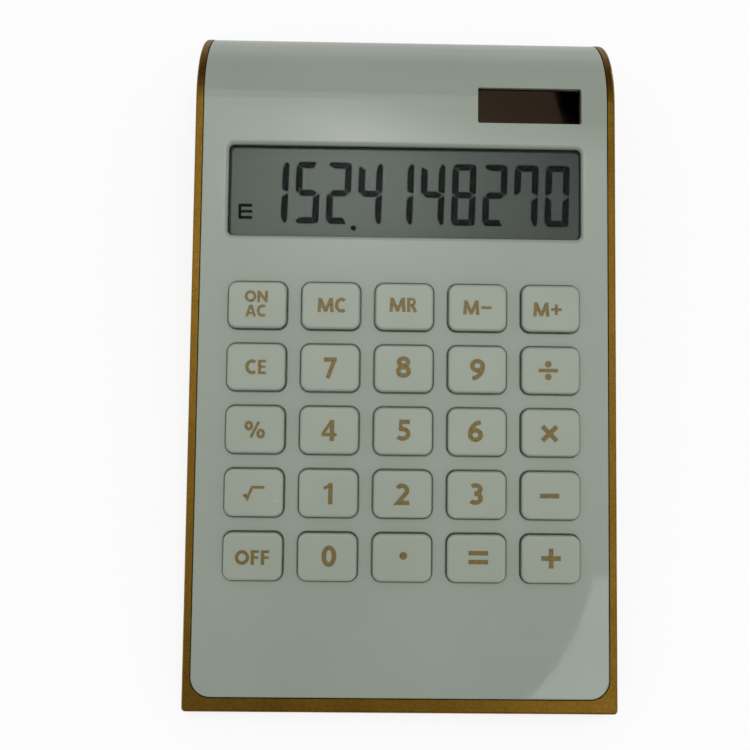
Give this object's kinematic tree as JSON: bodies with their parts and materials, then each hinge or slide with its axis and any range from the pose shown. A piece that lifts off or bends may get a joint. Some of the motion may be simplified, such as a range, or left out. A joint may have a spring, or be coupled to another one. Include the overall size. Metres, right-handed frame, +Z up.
{
  "type": "desk calculator",
  "caption": "Slim wedge desk calculator with a white face rolled over at the back, gold tray, rubber-dome keys, numeric display and solar cell.",
  "frame": {"origin": "on the desk, under the middle of the bounding box", "axes": "+X to the user's right, +Y from the front edge to the rolled back, +Z up"},
  "size_m": [0.105, 0.175, 0.0278],
  "materials": {
    "gold_paint": "satin metallic gold paint on moulded plastic",
    "white_gloss": "glossy white moulded plastic",
    "key_white": "glossy white moulded plastic with printed legends",
    "membrane_rubber": "translucent white silicone rubber",
    "carbon_rubber": "matte carbon-filled rubber",
    "board_laminate": "paper laminate with a lacquered copper side",
    "chip_resin": "black cast resin",
    "capacitor_can": "sleeved aluminium can",
    "screw_steel": "zinc-plated steel",
    "foot_rubber": "matte black rubber",
    "lens_clear": "clear acrylic sheet",
    "display_film": "grey-green polarising film",
    "display_glass": "thin display glass",
    "reflector_film": "grey-green reflective film",
    "foam_black": "soft black foam",
    "zebra_rubber": "layered conductive rubber",
    "solar_glass": "dark brown photovoltaic layer behind glass",
    "lead_red": "red insulation",
    "lead_black": "black insulation",
    "battery_sleeve": "plain grey printed sleeve on a metal can",
    "contact_steel": "nickel-plated spring steel"
  },
  "bodies": {
    "case": {"base_tray": "gold_paint", "face_plate": "white_gloss", "keypad_membrane": "membrane_rubber", "carbon_pills": "carbon_rubber", "circuit_board": "board_laminate", "chip_cover": "chip_resin", "smoothing_capacitor": "capacitor_can", "board_screws": "screw_steel", "case_screws": "screw_steel", "rubber_feet": "foot_rubber", "display_lens": "lens_clear", "display_front_film": "display_film", "display_front_glass": "display_glass", "display_rear_glass": "display_glass", "display_reflector": "reflector_film", "display_foam": "foam_black", "zebra_strip": "zebra_rubber", "solar_cell": "solar_glass", "solar_lead_positive": "lead_red", "solar_lead_negative": "lead_black", "battery_cell": "battery_sleeve", "battery_contact_positive": "contact_steel", "battery_contact_negative": "contact_steel", "battery_spring": "contact_steel", "battery_lead_positive": "lead_red", "battery_lead_negative": "lead_black"},
    "key_on_ac": {"key_on_ac": "key_white"},
    "key_mc": {"key_mc": "key_white"},
    "key_mr": {"key_mr": "key_white"},
    "key_m_minus": {"key_m_minus": "key_white"},
    "key_m_plus": {"key_m_plus": "key_white"},
    "key_ce": {"key_ce": "key_white"},
    "key_7": {"key_7": "key_white"},
    "key_8": {"key_8": "key_white"},
    "key_9": {"key_9": "key_white"},
    "key_divide": {"key_divide": "key_white"},
    "key_percent": {"key_percent": "key_white"},
    "key_4": {"key_4": "key_white"},
    "key_5": {"key_5": "key_white"},
    "key_6": {"key_6": "key_white"},
    "key_multiply": {"key_multiply": "key_white"},
    "key_root": {"key_root": "key_white"},
    "key_1": {"key_1": "key_white"},
    "key_2": {"key_2": "key_white"},
    "key_3": {"key_3": "key_white"},
    "key_minus": {"key_minus": "key_white"},
    "key_off": {"key_off": "key_white"},
    "key_0": {"key_0": "key_white"},
    "key_point": {"key_point": "key_white"},
    "key_equals": {"key_equals": "key_white"},
    "key_plus": {"key_plus": "key_white"},
    "battery_door": {"battery_door": "gold_paint"}
  },
  "joints": [
    {"name": "key_on_ac_press", "type": "slide", "parent": "case", "child": "key_on_ac", "axis": [0, 0.1305, -0.9914], "range_m": [0, 0.0012], "stiffness_N_per_m": 500, "springref_m": -0.0004, "deforming": ["keypad_membrane", "carbon_pills"]},
    {"name": "key_mc_press", "type": "slide", "parent": "case", "child": "key_mc", "axis": [0, 0.1305, -0.9914], "range_m": [0, 0.0012], "stiffness_N_per_m": 500, "springref_m": -0.0004, "deforming": ["keypad_membrane", "carbon_pills"]},
    {"name": "key_mr_press", "type": "slide", "parent": "case", "child": "key_mr", "axis": [0, 0.1305, -0.9914], "range_m": [0, 0.0012], "stiffness_N_per_m": 500, "springref_m": -0.0004, "deforming": ["keypad_membrane", "carbon_pills"]},
    {"name": "key_m_minus_press", "type": "slide", "parent": "case", "child": "key_m_minus", "axis": [0, 0.1305, -0.9914], "range_m": [0, 0.0012], "stiffness_N_per_m": 500, "springref_m": -0.0004, "deforming": ["keypad_membrane", "carbon_pills"]},
    {"name": "key_m_plus_press", "type": "slide", "parent": "case", "child": "key_m_plus", "axis": [0, 0.1305, -0.9914], "range_m": [0, 0.0012], "stiffness_N_per_m": 500, "springref_m": -0.0004, "deforming": ["keypad_membrane", "carbon_pills"]},
    {"name": "key_ce_press", "type": "slide", "parent": "case", "child": "key_ce", "axis": [0, 0.1305, -0.9914], "range_m": [0, 0.0012], "stiffness_N_per_m": 500, "springref_m": -0.0004, "deforming": ["keypad_membrane", "carbon_pills"]},
    {"name": "key_7_press", "type": "slide", "parent": "case", "child": "key_7", "axis": [0, 0.1305, -0.9914], "range_m": [0, 0.0012], "stiffness_N_per_m": 500, "springref_m": -0.0004, "deforming": ["keypad_membrane", "carbon_pills"]},
    {"name": "key_8_press", "type": "slide", "parent": "case", "child": "key_8", "axis": [0, 0.1305, -0.9914], "range_m": [0, 0.0012], "stiffness_N_per_m": 500, "springref_m": -0.0004, "deforming": ["keypad_membrane", "carbon_pills"]},
    {"name": "key_9_press", "type": "slide", "parent": "case", "child": "key_9", "axis": [0, 0.1305, -0.9914], "range_m": [0, 0.0012], "stiffness_N_per_m": 500, "springref_m": -0.0004, "deforming": ["keypad_membrane", "carbon_pills"]},
    {"name": "key_divide_press", "type": "slide", "parent": "case", "child": "key_divide", "axis": [0, 0.1305, -0.9914], "range_m": [0, 0.0012], "stiffness_N_per_m": 500, "springref_m": -0.0004, "deforming": ["keypad_membrane", "carbon_pills"]},
    {"name": "key_percent_press", "type": "slide", "parent": "case", "child": "key_percent", "axis": [0, 0.1305, -0.9914], "range_m": [0, 0.0012], "stiffness_N_per_m": 500, "springref_m": -0.0004, "deforming": ["keypad_membrane", "carbon_pills"]},
    {"name": "key_4_press", "type": "slide", "parent": "case", "child": "key_4", "axis": [0, 0.1305, -0.9914], "range_m": [0, 0.0012], "stiffness_N_per_m": 500, "springref_m": -0.0004, "deforming": ["keypad_membrane", "carbon_pills"]},
    {"name": "key_5_press", "type": "slide", "parent": "case", "child": "key_5", "axis": [0, 0.1305, -0.9914], "range_m": [0, 0.0012], "stiffness_N_per_m": 500, "springref_m": -0.0004, "deforming": ["keypad_membrane", "carbon_pills"]},
    {"name": "key_6_press", "type": "slide", "parent": "case", "child": "key_6", "axis": [0, 0.1305, -0.9914], "range_m": [0, 0.0012], "stiffness_N_per_m": 500, "springref_m": -0.0004, "deforming": ["keypad_membrane", "carbon_pills"]},
    {"name": "key_multiply_press", "type": "slide", "parent": "case", "child": "key_multiply", "axis": [0, 0.1305, -0.9914], "range_m": [0, 0.0012], "stiffness_N_per_m": 500, "springref_m": -0.0004, "deforming": ["keypad_membrane", "carbon_pills"]},
    {"name": "key_root_press", "type": "slide", "parent": "case", "child": "key_root", "axis": [0, 0.1305, -0.9914], "range_m": [0, 0.0012], "stiffness_N_per_m": 500, "springref_m": -0.0004, "deforming": ["keypad_membrane", "carbon_pills"]},
    {"name": "key_1_press", "type": "slide", "parent": "case", "child": "key_1", "axis": [0, 0.1305, -0.9914], "range_m": [0, 0.0012], "stiffness_N_per_m": 500, "springref_m": -0.0004, "deforming": ["keypad_membrane", "carbon_pills"]},
    {"name": "key_2_press", "type": "slide", "parent": "case", "child": "key_2", "axis": [0, 0.1305, -0.9914], "range_m": [0, 0.0012], "stiffness_N_per_m": 500, "springref_m": -0.0004, "deforming": ["keypad_membrane", "carbon_pills"]},
    {"name": "key_3_press", "type": "slide", "parent": "case", "child": "key_3", "axis": [0, 0.1305, -0.9914], "range_m": [0, 0.0012], "stiffness_N_per_m": 500, "springref_m": -0.0004, "deforming": ["keypad_membrane", "carbon_pills"]},
    {"name": "key_minus_press", "type": "slide", "parent": "case", "child": "key_minus", "axis": [0, 0.1305, -0.9914], "range_m": [0, 0.0012], "stiffness_N_per_m": 500, "springref_m": -0.0004, "deforming": ["keypad_membrane", "carbon_pills"]},
    {"name": "key_off_press", "type": "slide", "parent": "case", "child": "key_off", "axis": [0, 0.1305, -0.9914], "range_m": [0, 0.0012], "stiffness_N_per_m": 500, "springref_m": -0.0004, "deforming": ["keypad_membrane", "carbon_pills"]},
    {"name": "key_0_press", "type": "slide", "parent": "case", "child": "key_0", "axis": [0, 0.1305, -0.9914], "range_m": [0, 0.0012], "stiffness_N_per_m": 500, "springref_m": -0.0004, "deforming": ["keypad_membrane", "carbon_pills"]},
    {"name": "key_point_press", "type": "slide", "parent": "case", "child": "key_point", "axis": [0, 0.1305, -0.9914], "range_m": [0, 0.0012], "stiffness_N_per_m": 500, "springref_m": -0.0004, "deforming": ["keypad_membrane", "carbon_pills"]},
    {"name": "key_equals_press", "type": "slide", "parent": "case", "child": "key_equals", "axis": [0, 0.1305, -0.9914], "range_m": [0, 0.0012], "stiffness_N_per_m": 500, "springref_m": -0.0004, "deforming": ["keypad_membrane", "carbon_pills"]},
    {"name": "key_plus_press", "type": "slide", "parent": "case", "child": "key_plus", "axis": [0, 0.1305, -0.9914], "range_m": [0, 0.0012], "stiffness_N_per_m": 500, "springref_m": -0.0004, "deforming": ["keypad_membrane", "carbon_pills"]},
    {"name": "battery_door_hinge", "type": "hinge", "parent": "case", "child": "battery_door", "pos_m": [0, 0.03503, 0.00158], "axis": [-1, 0, 0], "range_deg": [0, 75]}
  ]
}
